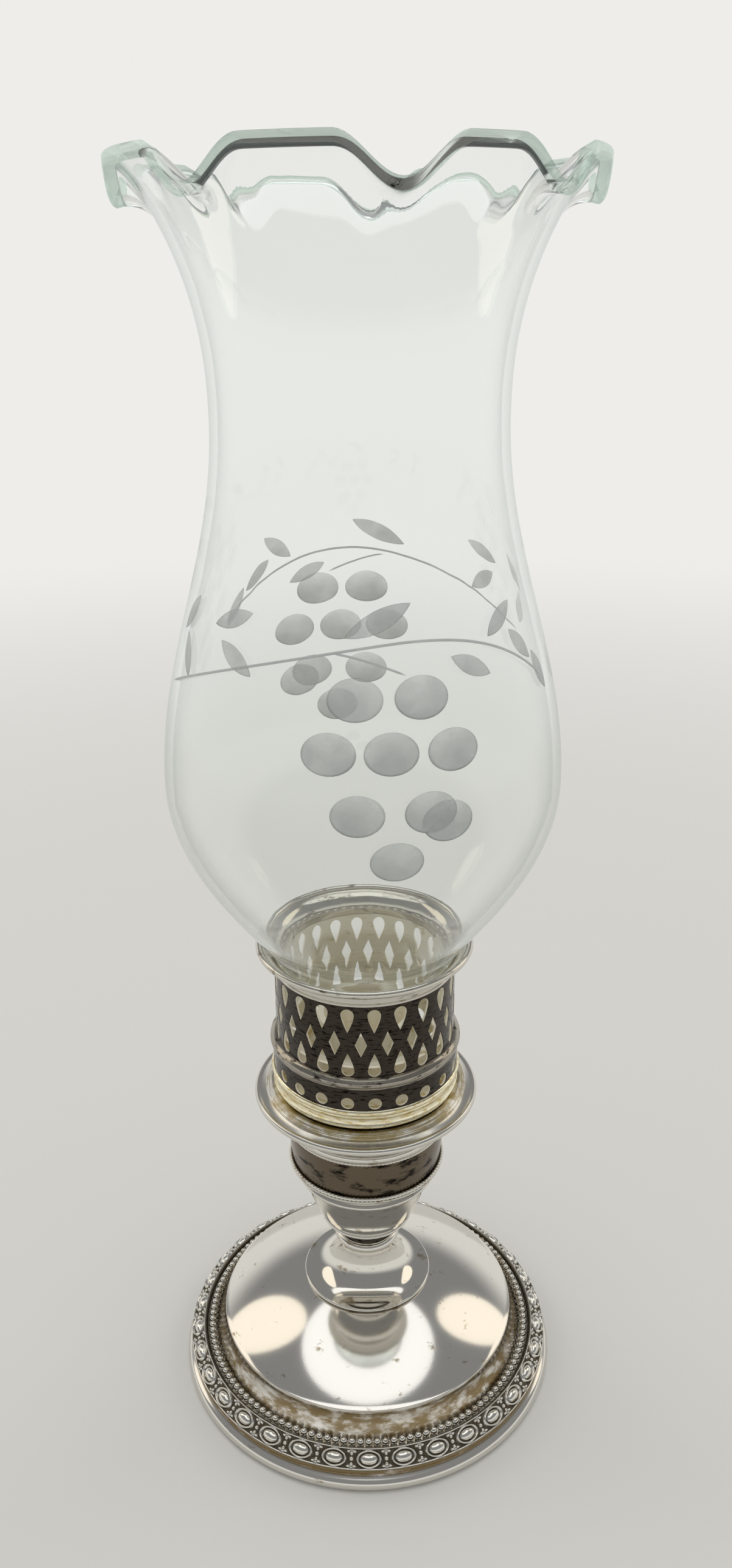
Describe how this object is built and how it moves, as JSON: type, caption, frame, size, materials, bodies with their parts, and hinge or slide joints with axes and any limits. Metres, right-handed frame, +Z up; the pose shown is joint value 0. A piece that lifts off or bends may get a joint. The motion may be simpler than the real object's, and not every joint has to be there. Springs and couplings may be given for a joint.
{
  "type": "hurricane candle lantern",
  "caption": "Silver candlestick with a lift-out pierced gallery that holds a crimped, cut-glass hurricane shade over a candle socket.",
  "frame": {"origin": "centre of the foot's rolled edge, on the surface that it stands on", "axes": "+Z up along the lantern's axis of turning, -Y towards the viewer, +X to the viewer's right"},
  "size_m": [0.11, 0.11, 0.3302],
  "materials": {
    "silver": "polished silver",
    "tarnished_silver": "tarnished silver",
    "gallery_silver": "polished silver",
    "gilt": "worn gilding",
    "inner_metal": "bright, unpolished",
    "filling": "cast cement",
    "iron": "plain",
    "felt": "felt",
    "peg_wood": "turned, bare",
    "glass": "clear, wheel cut"
  },
  "bodies": {
    "candlestick": {"foot_shell": "silver", "oval_border": "silver", "border_ovals": "silver", "bead_border": "silver", "foot_filling": "filling", "bottom_plate": "iron", "felt_pad": "felt", "tie_rod": "iron", "rod_washer": "iron", "rod_nut": "iron", "flared_stem": "silver", "stem_ring": "silver", "lower_bowl": "silver", "bowl_lip": "silver", "milled_wire": "silver", "stem_filling": "filling", "candle_cup": "tarnished_silver", "step_ring": "silver", "drip_tray": "silver", "socket_liner": "inner_metal", "cup_filling": "filling"},
    "gallery": {"gallery_base": "gilt", "gallery_floor": "inner_metal", "pierced_wall": "gallery_silver", "gallery_rim": "gallery_silver", "shade_ledge": "inner_metal", "candle_socket": "inner_metal", "socket_peg": "peg_wood", "peg_screw": "iron"},
    "shade": {"glass_shade": "glass"}
  },
  "joints": [
    {"name": "gallery_lift", "type": "slide", "parent": "candlestick", "child": "gallery", "axis": [0, 0, 1], "range_m": [0, 0.028]},
    {"name": "shade_lift", "type": "slide", "parent": "gallery", "child": "shade", "axis": [0, 0, 1], "range_m": [0, 0.032]}
  ]
}
